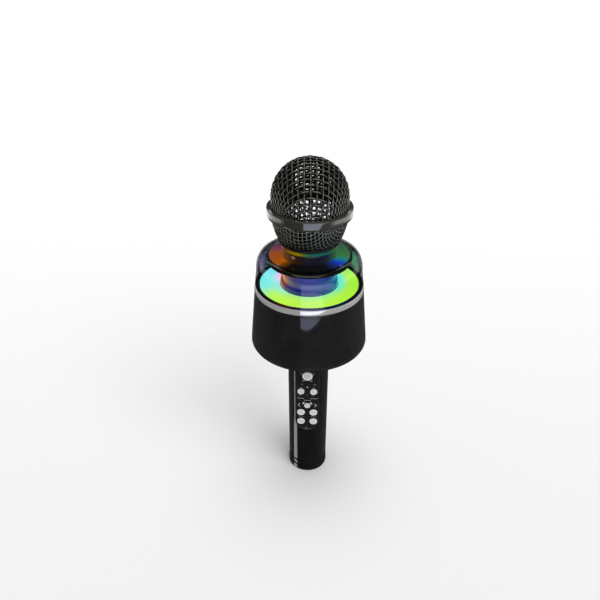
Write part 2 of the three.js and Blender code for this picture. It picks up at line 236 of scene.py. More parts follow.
def carved(made, operation, *shapes):
    """Joins a piece with closed shapes, or cuts it by them, and keeps only the result."""
    for verts, faces in shapes:
        tool = meshed("tool", verts, faces, MM)
        cut = made.modifiers.new("cut", "BOOLEAN")
        cut.operation, cut.object, cut.solver = operation, tool, "EXACT"
        ready = made.evaluated_get(bpy.context.evaluated_depsgraph_get())
        result = bpy.data.meshes.new_from_object(ready)
        made.modifiers.clear()
        made.data = result
        bpy.data.objects.remove(tool)
    made.data.shade_smooth()
    made.data.set_sharp_from_angle(angle=radians(30))
    return made


def facing_front(spot):
    """Turns a shape made about Z so that its axis points at -Y, through a spot on the panel."""
    return Matrix.Translation((spot.x, 0, spot.z)) @ Matrix.Rotation(radians(90), 4, "X")


# ---- Material helpers ----
class Nodes:
    """The nodes of a material or of the world, with short calls to make and link them."""

    def __init__(self, owner):
        owner.use_nodes = True
        self.owner = owner
        self.tree = owner.node_tree
        self.tree.nodes.clear()
        self.places = self.add("TexCoord").outputs
        self.place = self.places["Object"]

    def add(self, kind, **settings):
        """A new node of a kind, with its settings."""
        node = self.tree.nodes.new("ShaderNode" + kind)
        for key, value in settings.items():
            setattr(node, key, value)
        return node

    def feed(self, node, **inputs):
        """Sets or links a node's inputs by name, with _ for a space, or by number after an i."""
        for key, value in inputs.items():
            number = key[1:].isdigit()
            socket = node.inputs[int(key[1:]) if number else key.replace("_", " ")]
            if isinstance(value, bpy.types.NodeSocket):
                self.tree.links.new(value, socket)
            else:
                socket.default_value = value
        return node

    def make(self, kind, **inputs):
        """A new node's first output."""
        return self.feed(self.add(kind), **inputs).outputs[0]

    def math(self, operation, a, b=0.0, clamp=False):
        node = self.add("Math", operation=operation, use_clamp=clamp)
        return self.feed(node, i0=a, i1=b).outputs[0]

    def vector(self, operation, **inputs):
        node = self.feed(self.add("VectorMath", operation=operation), **inputs)
        return node.outputs["Value" if operation == "DOT_PRODUCT" else "Vector"]

    def parts(self, vector):
        return self.feed(self.add("SeparateXYZ"), i0=vector).outputs

    def ramp(self, factor, stops):
        """A colour for each factor, from stops of (factor, red, green, blue)."""
        node = self.feed(self.add("ValToRGB"), i0=factor)
        points = node.color_ramp.elements
        while len(points) < len(stops):
            points.new(0.5)
        for point, (at, *color) in zip(points, stops):
            point.position = at
            point.color = (*color, 1)
        return node.outputs["Color"]

    def ramp_round(self, name):
        """A colour for each direction about Z, for a lamp's glow and for a painted reflection alike: 0 at -X,
        0.25 at -Y, 0.5 at +X and 0.75 at +Y.
        """
        xyz = self.parts(self.place)
        turn = self.math("DIVIDE", self.math("ARCTAN2", xyz[1], xyz[0]), tau)
        stops = [[v / 1000 for v in stop] for stop in GLOWS[name]]
        return self.ramp(self.math("ADD", turn, 0.5), stops + [(1.0, *stops[0][1:])])

    def radius_squared(self, xyz):
        return self.math("ADD", self.math("POWER", xyz[0], 2), self.math("POWER", xyz[1], 2))

    def noise(self, scale, detail=3.0, stretch=(1, 1, 1)):
        spread = self.make("Mapping", Vector=self.place, Scale=stretch)
        node = self.add("TexNoise")
        return self.feed(node, Vector=spread, Scale=scale, Detail=detail).outputs["Fac"]

    def share(self, value, start, end, least=0.0, most=1.0):
        """A number from least to most, as the value goes from start to end."""
        return self.make("MapRange", Value=value, From_Min=start, From_Max=end, To_Min=least,
                         To_Max=most)

    def between(self, noise, least, most):
        return self.share(noise, 0.3, 0.7, least, most)

    def mix(self, factor, a, b, blend="MIX"):
        node = self.add("Mix", data_type="RGBA", blend_type=blend)
        return self.feed(node, i0=factor, i6=a, i7=b).outputs[2]

    def bump(self, height, strength, depth):
        """Relief with a depth in micrometres."""
        return self.make("Bump", Height=height, Strength=strength, Distance=depth * 1e-6)

    def finish(self, shader):
        self.feed(self.add("OutputMaterial"), Surface=shader)
        return self.owner

    def plastic(self, **inputs):
        """The finished material, with one principled shader."""
        return self.finish(self.make("BsdfPrincipled", **inputs))


def material(name):
    return Nodes(bpy.data.materials.new(name))


def tone(color, factor):
    return tuple(min(1.0, c * factor) for c in color) + (1,)


def coated(name, color, rough, grain, depth, metal=0.0, spread=0.25, specular=0.5):
    """A finish with a little drift in its colour and gloss and a fine grain in its relief."""
    n = material(name)
    base = n.mix(n.between(n.noise(60, 4), 0, 1), tone(color, 1 - spread), tone(color, 1 + spread))
    gloss = n.between(n.noise(140, 3), rough * 0.7, rough * 1.3)
    return n.plastic(Base_Color=base, Roughness=gloss, Metallic=metal, Specular_IOR_Level=specular,
                     Normal=n.bump(n.noise(grain, 2), 0.5, depth))


def lamp_and_painted_glow(name, color, strength, rough=0.08, specular=0.5):
    """A dark glossy plastic with an emission colour for each direction about Z: on the status lamp this is
    its own light, and on every other piece it is painted light of the lamps, in their reflections and glows.
    """
    n = material(name)
    gloss = n.between(n.noise(90, 3), rough * 0.7, rough * 1.3)
    base = n.mix(n.noise(40, 3), tone(color, 0.8), tone(color, 1.2))
    return n.plastic(Base_Color=base, Roughness=gloss, Emission_Color=n.ramp_round(name),
                     Emission_Strength=strength, Specular_IOR_Level=specular,
                     Normal=n.bump(n.noise(900, 2), 0.2, 10))


# ---- Colours of the lamps' light, and of the painted reflections and glows of it on other pieces, as stops of share of a turn, red, green and blue, in thousandths ----
GLOWS = {
    "lens_outside": [(0, 170, 820, 780), (45, 190, 820, 700), (75, 340, 850, 360),
        (110, 450, 900, 120), (180, 490, 900, 50), (250, 480, 880, 60), (360, 440, 880, 40),
        (500, 360, 820, 30), (560, 400, 850, 50), (660, 200, 700, 400), (800, 200, 600, 900)],
    "lens_inside": [(0, 400, 750, 800), (50, 280, 760, 690), (120, 300, 840, 500),
        (170, 380, 820, 170), (250, 380, 820, 200), (380, 300, 820, 260), (440, 160, 800, 500),
        (500, 120, 750, 600), (580, 120, 750, 750), (750, 400, 300, 900), (920, 950, 300, 800),
        (960, 850, 550, 900)],
    # Every entry from here except status_glow is painted light: the lamps' reflections and glows painted onto
    # pieces that are not lamps.
    "dome_painted_reflections": [(0, 0, 0, 0), (540, 0, 0, 0), (560, 20, 190, 120), (580, 30, 220, 90),
        (600, 0, 0, 0), (925, 0, 0, 0), (945, 60, 55, 170), (960, 100, 45, 180), (980, 0, 0, 0)],
    "collar_painted_reflection": [(0, 200, 60, 15), (100, 100, 36, 8), (150, 45, 18, 4), (190, 20, 8, 2),
        (230, 8, 7, 16), (310, 5, 5, 14), (360, 8, 16, 34), (410, 18, 70, 30), (450, 20, 90, 50),
        (550, 10, 50, 150), (750, 20, 30, 100), (900, 120, 30, 80)],
    "lip_painted_glow": [(0, 220, 60, 10), (100, 200, 60, 4), (150, 260, 160, 0), (190, 300, 230, 0),
        (225, 100, 150, 10), (260, 15, 140, 100), (330, 12, 120, 100), (380, 15, 120, 60),
        (420, 30, 170, 20), (480, 30, 140, 30), (600, 20, 80, 150), (900, 120, 30, 80)],
    "disc_painted_reflection": [(0, 270, 62, 15), (60, 310, 70, 8), (100, 380, 80, 0), (130, 100, 30, 0),
        (160, 2, 2, 2), (340, 3, 4, 5), (380, 8, 15, 120), (410, 4, 30, 450), (435, 5, 120, 340),
        (460, 20, 200, 150), (480, 40, 170, 50), (540, 30, 140, 50), (600, 40, 90, 70),
        (680, 30, 40, 50), (860, 50, 30, 60), (930, 120, 35, 60), (965, 170, 45, 70)],
    "trim_painted_reflection": [(0, 50, 25, 45), (100, 55, 30, 12), (180, 30, 28, 18), (260, 20, 19, 22),
        (380, 30, 30, 18), (500, 30, 50, 35), (750, 30, 30, 50)],
    "column_painted_glow": [(0, 500, 120, 10), (75, 500, 120, 10), (100, 300, 110, 40), (135, 100, 70, 160),
        (170, 55, 50, 170), (210, 45, 50, 250), (260, 50, 60, 280), (340, 30, 50, 280),
        (390, 9, 45, 240), (470, 0, 60, 270), (600, 30, 250, 300), (750, 50, 100, 300),
        (900, 400, 50, 200)],
    "foot_painted_glow": [(0, 400, 80, 0), (80, 200, 45, 30), (110, 70, 35, 90), (140, 25, 30, 160),
        (200, 5, 10, 150), (300, 10, 30, 200), (370, 15, 80, 220), (440, 10, 120, 250),
        (520, 20, 300, 350), (750, 20, 100, 300), (900, 300, 30, 200)],
    "seat_painted_reflection": [(0, 30, 30, 30), (130, 40, 30, 25), (170, 350, 100, 10), (220, 120, 30, 300),
        (300, 20, 30, 350), (370, 10, 80, 350), (410, 30, 30, 50)],
    "status_glow": [(0, 500, 500, 520)],
}


# ---- Materials ----
def smoke_glass():
    """Smoke-tinted clear plastic with faint painted reflections of the lamps, green and purple patches given
    as a glow, inside its back wall. It tints light once, going in.
    """
    n = material("smoke_clear")
    haze = n.between(n.noise(30, 2), 0, 1)
    tint = n.mix(haze, tone((1, 1, 1), SMOKE_PASS * 0.97), tone((1, 1, 1), SMOKE_PASS * 1.03))
    leaving = n.add("NewGeometry").outputs["Backfacing"]
    entering = n.math("SUBTRACT", 1.0, leaving)
    through = n.make("BsdfTransparent", Color=n.mix(leaving, tint, (1, 1, 1, 1)))
    shine = n.make("BsdfGlossy", Color=(0.95, 0.96, 1, 1), Roughness=0.02)
    amount = n.math("MINIMUM", n.make("Fresnel", IOR=1.5), 0.029)
    mixed = n.make("MixShader", i0=n.math("MULTIPLY", amount, entering), i1=through, i2=shine)

    # The emission below is painted reflection: green and purple patches of the lamps on the inward faces of
    # the wall, between these heights.
    foot, full, fading, top = 0.167, 0.171, 0.177, 0.182
    height = n.parts(n.place)[2]
    window = n.math("MULTIPLY", n.share(height, foot, full), n.share(height, top, fading))
    flat = n.vector("MULTIPLY", i0=n.place, i1=(1, 1, 0))
    normal = n.add("NewGeometry").outputs["Normal"]
    inward = n.math("LESS_THAN", n.vector("DOT_PRODUCT", i0=flat, i1=normal), 0.0)
    lit = n.math("MULTIPLY", window, n.math("MULTIPLY", inward, entering))
    glow = n.make("Emission", Color=n.ramp_round("dome_painted_reflections"),
                  Strength=n.math("MULTIPLY", lit, 1 / SMOKE_PASS))
    return n.finish(n.make("AddShader", i0=mixed, i1=glow))


def milky_light():
    """The ring lens: each part of it glows in the colour of the lamps beneath."""
    inner, outer = 21, 26.5
    n = material("milky_lens")
    reach = n.math("SUBTRACT", n.math("SQRT", n.radius_squared(n.parts(n.place))), inner * MM)
    outwards = n.math("DIVIDE", reach, (outer - inner) * MM, clamp=True)
    glow = n.mix(outwards, n.ramp_round("lens_inside"), n.ramp_round("lens_outside"))
    return n.plastic(Base_Color=(0.3, 0.32, 0.3, 1), Roughness=n.between(n.noise(80), 0.2, 0.3),
                     Emission_Color=glow, Emission_Strength=1.04 / SMOKE_PASS,
                     Normal=n.bump(n.noise(500, 2), 0.2, 20))


def brushed_band(name, color, rough, metal):
    """Lacquered metal with fine lines round it and faint tarnish."""
    n = material(name)
    lines = n.noise(900, 2, (0.05, 0.05, 1))
    base = n.mix(n.between(n.noise(55, 5), 0, 1), tone(color, 0.78), tone(color, 1.12))
    return n.plastic(Base_Color=base, Metallic=metal, Roughness=n.between(lines, rough * 0.8, rough * 1.25),
                     Normal=n.bump(lines, 0.25, 10))


def painted_highlight_wire(name, centre, bright, first, shell=None):
    """Dark wire with a painted highlight, a bright metal colour, along the crests that face away from the
    head's middle, and painted shade, near black, on the rest.

    With a shell given as (radius, height, depth), the painted highlight fades to a quarter on the parts of a
    wire that dive under others, as painted shade.
    """
    n = material(name)
    ray = n.vector("SUBTRACT", i0=n.place, i1=(0, 0, centre * MM))
    normal = n.add("NewGeometry").outputs["Normal"]
    facing = n.vector("DOT_PRODUCT", i0=n.vector("NORMALIZE", i0=ray), i1=normal)
    painted_highlight = n.share(facing, first, 0.97)
    if shell:
        radius, height, depth = (v * MM for v in shell)
        xyz = n.parts(ray)
        lift = n.math("POWER", n.math("DIVIDE", n.math("MAXIMUM", xyz[2], 0), height), 2)
        side = n.math("DIVIDE", n.radius_squared(xyz), radius * radius)
        reach = n.math("SQRT", n.math("ADD", side, lift))
        painted_highlight = n.math("MULTIPLY", painted_highlight, n.share(reach, 1 - depth / radius, 1, 0.25, 1))
    metal = n.mix(n.between(n.noise(60, 4), 0, 1), tone(bright, 0.85), tone(bright, 1.15))
    return n.plastic(Base_Color=n.mix(painted_highlight, (0.003, 0.003, 0.003, 1), metal), Metallic=0.5,
                     Roughness=n.between(n.noise(140, 3), 0.2, 0.34), Specular_IOR_Level=0.15,
                     Normal=n.bump(n.noise(1800, 2), 0.5, 3))


GLOSS_BLACK = coated("gloss_black", (0.0092, 0.0092, 0.0097), 0.07, 1400, 2)
PANEL_BLACK = coated("panel_black", (0.0150, 0.0150, 0.0158), 0.12, 1400, 2)
SATIN_BLACK = coated("satin_black", (0.014, 0.014, 0.015), 0.42, 2600, 20, specular=0.25)
SLEEVE_PAINT = coated("sleeve_paint", (0.0165, 0.0165, 0.0172), 0.03, 1800, 2)
CLOTH_BLACK = coated("backing_cloth", (0.006, 0.006, 0.007), 0.95, 3000, 50)
# The ball's and the cup's wires carry a painted highlight on their outer crests and painted shade on the
# rest.
BALL_WIRE = painted_highlight_wire("ball_wire", BALL_Z, (0.225, 0.225, 0.185), 0.87, (BALL_R - 0.4, BALL_R, 0.75))
CUP_WIRE = painted_highlight_wire("cup_wire", BAND_TOP, (0.36, 0.4, 0.34), 0.78)
BAND_METAL = brushed_band("band_metal", (0.095, 0.094, 0.083), 0.07, 0.55)
RING_CHROME = coated("ring_chrome", (0.61, 0.615, 0.6), 0.06, 1500, 2, metal=0.4, spread=0.05)
BUTTON_PEARL = coated("button_pearl", (0.86, 0.88, 0.87), 0.25, 2200, 8, spread=0.04)
BUTTON_FACE = coated("button_face", (0.66, 0.68, 0.67), 0.35, 1600, 30, spread=0.06)
PRINT_WHITE = coated("print_white", (0.8, 0.8, 0.8), 0.6, 2200, 4, spread=0.1)
PRINT_GREY = coated("print_grey", (0.38, 0.39, 0.40), 0.6, 2200, 4, spread=0.15)
PRINT_DIM = coated("print_dim", (0.13, 0.135, 0.17), 0.6, 2200, 4, spread=0.2)
RIM_GREY = coated("rim_grey", (0.22, 0.22, 0.21), 0.2, 1500, 3, metal=0.8, spread=0.1)
RUBBER_BLACK = coated("rubber_black", (0.012, 0.012, 0.012), 0.8, 1500, 30)
BOARD_GREEN = coated("board_green", (0.01, 0.09, 0.035), 0.4, 700, 20, spread=0.3)
INNER_STEEL = coated("inner_steel", (0.55, 0.55, 0.56), 0.3, 1200, 10, metal=1.0, spread=0.15)
SCREW_STEEL = coated("screw_steel", (0.6, 0.46, 0.38), 0.35, 1200, 10, metal=0.5, spread=0.15)
FOAM_BLACK = coated("head_foam", (0.006, 0.006, 0.006), 0.95, 900, 200, specular=0.1)
CONE_CARD = coated("cone_card", (0.02, 0.019, 0.018), 0.9, 900, 100)
CELL_WRAP = coated("cell_wrap", (0.02, 0.08, 0.3), 0.3, 500, 10)
SMOKE = smoke_glass()
MILKY = milky_light()
LAMP_WHITE = lamp_and_painted_glow("status_glow", (0.4, 0.4, 0.42), 0.6)


# ---- Woven wire ----
class Shell:
    """A surface turned about Z from a list of (radius, height) points that starts at its pole."""

    def __init__(self, meridian):
        self.points = meridian
        self.steps = [0.0]
        for (r0, z0), (r1, z1) in zip(meridian, meridian[1:]):
            self.steps.append(self.steps[-1] + hypot(r1 - r0, z1 - z0))

    def along(self, distance):
        """The (radius, height) at a distance from the pole."""
        for i in range(1, len(self.steps)):
            if distance <= self.steps[i]:
                t = (distance - self.steps[i - 1]) / (self.steps[i] - self.steps[i - 1])
                (r0, z0), (r1, z1) = self.points[i - 1], self.points[i]
                return r0 + (r1 - r0) * t, z0 + (z1 - z0) * t
        return None

    def onto(self, p):
        """The nearest point of the surface, and the normal there."""
        reach = hypot(p.x, p.y) or 1e-9
        best = None
        for (r0, z0), (r1, z1) in zip(self.points, self.points[1:]):
            dr, dz = r1 - r0, z1 - z0
            t = max(0.0, min(1.0, ((reach - r0) * dr + (p.z - z0) * dz) / (dr * dr + dz * dz)))
            r, z = r0 + dr * t, z0 + dz * t
            far = (reach - r) ** 2 + (p.z - z) ** 2
            if best is None or far < best[0]:
                best = (far, r, z, dr, dz)
        _, r, z, dr, dz = best
        cx, cy = p.x / reach, p.y / reach
        size = hypot(dr, dz)
        return Vector((cx * r, cy * r, z)), Vector((-cx * dz / size, -cy * dz / size, dr / size))


def net(shell, pitch, turn, reach, least_angle=16):
    """A square net laid over a shell from its pole without stretching: {(i, j): point}."""
    quarter = {}
    for i in range(reach + 1):
        spot = shell.along(i * pitch)
        if spot is None:
            break
        quarter[i, 0] = Vector((spot[0], 0, spot[1]))
        quarter[0, i] = Vector((0, spot[0], spot[1]))
    for i in range(1, reach + 1):
        for j in range(1, reach + 1):
            a, b, c = (quarter.get(k) for k in ((i - 1, j), (i, j - 1), (i - 1, j - 1)))
            if a is None or b is None or c is None:
                continue
            p = a + b - c
            for _ in range(14):
                p = shell.onto(p)[0]
                ea, eb = p - a, p - b
                off_a, off_b = ea.length - pitch, eb.length - pitch
                ea.normalize()
                eb.normalize()
                lean = ea.dot(eb)
                if abs(lean) > cos(radians(least_angle)):
                    break
                scale = 1 / (1 - lean * lean)
                p = p - ea * ((off_a - lean * off_b) * scale) - eb * ((off_b - lean * off_a) * scale)
            if abs(lean) <= cos(radians(least_angle)) and abs(off_a) + abs(off_b) < 0.2:
                quarter[i, j] = shell.onto(p)[0]
    whole = {}
    for (i, j), p in quarter.items():
        for q in range(4):
            a, b = [(i, j), (-j, i), (-i, -j), (j, -i)][q]
            whole[a, b] = Matrix.Rotation(radians(turn + 90 * q), 3, "Z") @ p
    return whole


def woven(shell, pitch, turn, reach, wave, keep, samples=4):
    """Paths of the wires of a plain weave on a shell, each point lifted or lowered by the wave."""
    knots = net(shell, pitch, turn, reach)
    paths = []
    for across in (False, True):
        for row in range(-reach, reach + 1):
            run = []
            for k in range(-reach, reach + 2):
                key, past = ((k, row), (k + 1, row)) if across else ((row, k), (row, k + 1))
                here, there = knots.get(key), knots.get(past)
                if here is None or not keep(here):
                    if len(run) > samples:
                        paths.append(run)
                    run = []
                    continue
                sign = 1 if (key[0] + key[1]) % 2 == 0 else -1
                sign = sign if across else -sign
                more = samples if there is not None and keep(there) else 1
                for s in range(more):
                    t = s / samples
                    mid, normal = shell.onto(here.lerp(there, t) if s else here)
                    run.append((mid + normal * (wave * sign * cos(pi * t)), normal))
            if len(run) > samples:
                paths.append(run)
    return paths


def head():
    """The ball and the cup of woven wire, the band between them and the ring the cup stands on."""
    wire, wave = 0.86, 0.3
    high_r = BALL_R - wire - wave
    wide_r = high_r - 0.4
    dome_line = arc(0, BALL_Z, wide_r, high_r, 90, 0, 24) + [(wide_r, BAND_LOW + 1)]
    ball = woven(Shell(dome_line), 3.6, FRONT_TURN, 16, wave, lambda p: p.z > BAND_LOW + 1.4)
    piece("ball_weave", *swept(ball, wire, 8), BALL_WIRE, "mesh_wire", ["upper_grille"], crease=60)

    thin, small_wave = 0.38, 0.1
    inset = thin + small_wave
    z0, z1, turn = CUP_LOW, BAND_LOW, FRONT_TURN - 18
    cup_line = [(0, z0 - 2.2), (15, z0 - 2.2), (17.6, z0 - 1.6), (19.4, z0 - 0.2), (21.2 - inset, z0 + 2),
                (22.8 - inset, z0 + 6.5), (23.8 - inset, z0 + 10.5), (24.2 - inset, z1),
                (24.6 - inset, z1 + 3)]
    cup = woven(Shell(cup_line), 2.6, turn, 26, small_wave, lambda p: z0 - 0.6 < p.z < z1 + 2.2)
    piece("cup_weave", *swept(cup, thin, 6), CUP_WIRE, "mesh_wire", ["lower_grille"], crease=60)

    inner, soft = 24.3, 0.6
    band = [(inner, BAND_LOW + 0.3)] + arc(25.3, BAND_LOW + 2.0, 1.75, 1.9, 250, 350, 8)
    band += arc(BAND_R - soft, BAND_TOP - soft - 0.2, soft, soft, 0, 80, 8) + [(inner, BAND_TOP)]
    piece("band", *turned(rounded(band, 0.15, 3)), BAND_METAL, "band_metal", ["grille_band"])

    z0, z1, _ = span("grille_collar")
    seat = [(BORE, z0), (18.7, z0), (19.5, z0 + 0.4), (20.4, z0 + 1.4), (20.6, z1 - 0.5), (20.2, z1),
            (19.2, z1 - 0.6), (BORE, z1 - 0.6)]
    ring("cup_seat", seat, 0.25, SATIN_BLACK, "shell_black", "grille_collar")


def capsule():
    z0, z1, _ = span("capsule_mount")
    plate = [(0.02, z0), (12, z0), (12, z1), (8.6, z1), (8.2, z1 - 0.4), (0.02, z1 - 0.4)]
    ring("capsule_plate", plate, 0.2, CLOTH_BLACK, "shell_black", "capsule_mount", around=96)
    rest = high("grille_collar").z
    foam = [(16.4, rest + 0.2), (18.4, rest + 0.2), (20.4, rest + 3.2), (19.6, rest + 3.6),
            (17.6, rest + 1.6), (16.4, rest + 1.4)]
    ring("foam_skirt", foam, 0.4, FOAM_BLACK, "seal_rubber", around=96)
    z0, z1, _ = span("capsule_boot")
    boot = [(5.2, z0), (7, z0), (7, z0 + 1.2), (6.5, z0 + 1.6), (6.5, z0 + 2.4), (7, z0 + 2.8),
            (7, z1 - 0.3), (6.6, z1), (5.2, z1)]
    ring("capsule_boot_ribbed", boot, 0.2, RUBBER_BLACK, "seal_rubber", "capsule_boot", around=96)
    z0, z1, _ = span("capsule")
    can = [(0, z0), (4.85, z0), (4.85, z1 - 0.3), (4.55, z1), (4, z1), (3.9, z1 - 0.25), (1.4, z1 - 0.25),
           (1.2, z1 - 0.6), (0, z1 - 0.6)]
    piece("capsule_can", *domed(can, 64), INNER_STEEL, "inner_steel", ["capsule"])


# ---- Neck and light chamber ----
def neck():
    seam, lip_top = high("collar_screw").z + 1.15, high("head_washer").z + 0.1
    groove, sunk = NECK_LOW + 2.6, NECK_R - 0.25
    collar = [(BORE, NECK_LOW), (NECK_R, NECK_LOW), (NECK_R, groove), (sunk, groove + 0.2),
              (sunk, groove + 0.5), (NECK_R, groove + 0.7), (NECK_R, seam), (BORE, seam)]
    # The collar's colours are painted reflections of the lamps, given as a glow of its own.
    finish = lamp_and_painted_glow("collar_painted_reflection", (0.004, 0.004, 0.004), 1.0, specular=0.15)
    made = ring("collar", collar, 0.15, finish, "handle_black", "neck_collar")

    screw, proud = middle("collar_screw"), 0.95
    outward = Vector((screw.x, screw.y, 0)).normalized()
    spot = Matrix.Translation(screw) @ outward.to_track_quat("Z", "Y").to_matrix().to_4x4()
    carved(made, "DIFFERENCE", placed(rod(1.4, -1.1, 3, 32), spot))
    cap = [(0, -0.9), (1.25, -0.9), (1.25, proud - 0.35), (0.95, proud), (0.6, proud), (0.5, proud - 0.5),
           (0, proud - 0.5)]
    piece("collar_set_screw", *placed(domed(cap, 32), spot), SCREW_STEEL, "inner_steel", ["collar_screw"])

    edge = NECK_R + 0.1
    lip = [(BORE, seam + 0.1), (edge, seam + 0.1), (edge, seam + 0.35), (16.8, lip_top), (BORE, lip_top)]
    # The lip's colours are a painted glow of the lamps' light.
    finish = lamp_and_painted_glow("lip_painted_glow", (0.005, 0.005, 0.005), 0.75, specular=0.15)
    ring("lip", lip, 0.08, finish, "smoke_clear", "head_washer")


def dome():
    """The clear dome, with a thicker wall at its foot."""
    wall_z, wall_r, top_r, hole, skin, foot_skin = 176.6, 34.9, 28.1, 26.5, 1.0, 1.9
    outer = arc(top_r, wall_z, wall_r - top_r, DOME_TOP - wall_z, 0, 90, 20, 2.3)
    inner = arc(top_r, wall_z, wall_r - skin - top_r, DOME_TOP - skin - wall_z, 90, 0, 16, 2.3)
    lip = [(hole + 0.2, DOME_TOP), (hole, DOME_TOP - 0.2), (hole, DOME_TOP - skin + 0.1)]
    shell = [(DOME_R, DOME_LOW)] + outer + lip + inner + [(DOME_R - foot_skin, DOME_LOW)]
    piece("smoke_dome", *turned(shell), SMOKE, "smoke_clear", ["dome_shell"])


def light_chamber():
    z0, z1, r = span("top_disc")
    disc = [(BORE, z0), (r, z0), (r, z1 - 0.25), (r - 0.25, z1), (BORE, z1)]
    # The mirror disc's colours are painted reflections of the lamps, given as a glow.
    finish = lamp_and_painted_glow("disc_painted_reflection", (0.002, 0.002, 0.002), 1.0, 0.04, specular=0.35)
    ring("mirror_disc", disc, 0.1, finish, "mirror_blue", "top_disc")

    z0, z1, _ = span("dome_trim")
    # The trim's olive and coloured tints are painted reflections of the lamps, given as a glow.
    finish = lamp_and_painted_glow("trim_painted_reflection", (0.004, 0.004, 0.004), 1.0, specular=0.3)
    ring("rim_trim", oblong(26.5, 27.8, z0, z1), 0.2, finish, "handle_black", "dome_trim")
    dome()

    z0, z1, r = span("light_column")
    waist, thin_r = z0 + 5, r - 0.3
    column = [(BORE, z0), (r, z0), (r, waist), (thin_r, waist + 0.3), (thin_r, z1), (BORE, z1)]
    # The column's colours are a painted glow of the lamps, made stronger to show through the smoke wall.
    finish = lamp_and_painted_glow("column_painted_glow", (0.01, 0.011, 0.03), 0.95 / SMOKE_PASS, 0.05)
    ring("mirror_column", column, 0.15, finish, "mirror_blue", "light_column")

    z0, z1, _ = span("column_base")
    foot = [(BORE, z0), (19.2, z0), (19.2, z1 - 0.9), (18.7, z1), (BORE, z1)]
    # The column foot's colours are a painted glow of the lamps, made stronger to show through the smoke wall.
    finish = lamp_and_painted_glow("foot_painted_glow", (0.01, 0.01, 0.03), 0.95 / SMOKE_PASS)
    ring("column_foot", foot, 0.3, finish, "mirror_blue", "column_base")

    hole, groove = 19.6, 26.9
    lens = [(hole, LENS_LOW), (LENS_R, LENS_LOW), (LENS_R, LENS_TOP - 0.35), (LENS_R - 0.9, LENS_TOP),
            (groove + 0.3, LENS_TOP), (groove, LENS_TOP - 0.18), (groove - 0.3, LENS_TOP),
            (hole + 0.4, LENS_TOP), (hole, LENS_TOP - 0.4)]
    ring("glow_ring", lens, 0.12, MILKY, "milky_lens", "led_diffuser")

    z0, z1, _ = span("dome_seat")
    # The seat's coloured lines are painted reflections of the lamps, given as a glow.
    finish = lamp_and_painted_glow("seat_painted_reflection", (0.012, 0.012, 0.012), 0.13 / SMOKE_PASS)
    ring("dome_seat_ring", oblong(LENS_R + 0.3, 35.2, z0, z1), 0.25, finish, "shell_black", "dome_seat")

    inner = 35.6
    bright = [(inner, RING_LOW), (RING_R - 0.15, RING_LOW), (RING_R, RING_LOW + 0.2),
              (inner + 0.75, RING_TOP - 0.3), (inner + 0.5, RING_TOP), (inner, RING_TOP)]
    ring("bright_ring", bright, 0.12, RING_CHROME, "bright_chrome", "chrome_ring")


# ---- Loudspeaker ----
def sleeve():
    """The perforated sleeve: staggered round holes in a thin cone, with a rolled edge above and below."""
    pitch, hole, skin, edge = 1.72, 0.42, 0.5, 1.0
    fine_turn, fine_z = 40000, 1000      # grids that tell points apart, per radian and per millimetre
    top_r = RING_R - 0.1
    slope = (top_r - SLEEVE_R) / (SLEEVE_TOP - SLEEVE_LOW)
    first, last = SLEEVE_LOW + edge, SLEEVE_TOP - edge
    count = round(tau * (SLEEVE_R + top_r) / 2 / pitch)
    rows = round((last - first) / (pitch * sqrt(3) / 2))
    rise = (last - first) / rows
    step = tau / count
    verts, faces, index = [], [], {}

    def radius(z):
        return SLEEVE_R + slope * (z - SLEEVE_LOW)

    def point(turn, z, depth):
        grid = round(turn % (tau) * fine_turn) % round(tau * fine_turn)
        key = (grid, round(z * fine_z), depth)
        if key not in index:
            index[key] = len(verts)
            r = radius(z) - depth
            verts.append((r * cos(turn), r * sin(turn), z))
        return index[key]

    for row, k in ((row, k) for row in range(rows) for k in range(count)):
        turn, z = (k + 0.5 * (row % 2)) * step, first + rise * (row + 0.5)
        corners = []
        for across, up in ((1, 1), (0, 2), (-1, 1), (-1, -1), (0, -2), (1, -1)):
            level = max(first, min(last, z + up * rise / 3))
            corners.append(point(turn + across * step / 2, level, 0))
        outer, inner = [], []
        for c in range(12):
            a = radians(30 * c + 30)
            spot = (turn + hole * cos(a) / radius(z), z + hole * sin(a))
            outer.append(point(*spot, 0))
            inner.append(point(*spot, skin))
        for c in range(6):
            a, b = corners[c], corners[(c + 1) % 6]
            h0, h1, h2 = outer[2 * c], outer[2 * c + 1], outer[(2 * c + 2) % 12]
            faces += [(a, b, h1), (a, h1, h0), (b, h2, h1)]
        for c in range(12):
            d = (c + 1) % 12
            faces.append((outer[c], outer[d], inner[d], inner[c]))
    piece("perforated_sleeve", verts, faces, SLEEVE_PAINT, "sleeve_black", ["speaker_sleeve"], crease=50)

    def hem(name, z0, z1):
        near, far = radius(z0), radius(z1)
        outline = [(near - 0.8, z0), (near, z0), (far, z1), (far - 0.8, z1)]
        ring(name, outline, 0.1, SLEEVE_PAINT, "sleeve_black")

    hem("sleeve_hem_low", SLEEVE_LOW, first)
    hem("sleeve_hem_top", last, SLEEVE_TOP)
    gap, thick, short = skin + 0.05, 0.2, 0.2
    foot, top = SLEEVE_R - gap, top_r - gap
    cloth = [(foot, SLEEVE_LOW + short), (top, SLEEVE_TOP - short), (top - thick, SLEEVE_TOP - short),
             (foot - thick, SLEEVE_LOW + short)]
    piece("backing_cloth", *turned(cloth), CLOTH_BLACK, "sleeve_black")


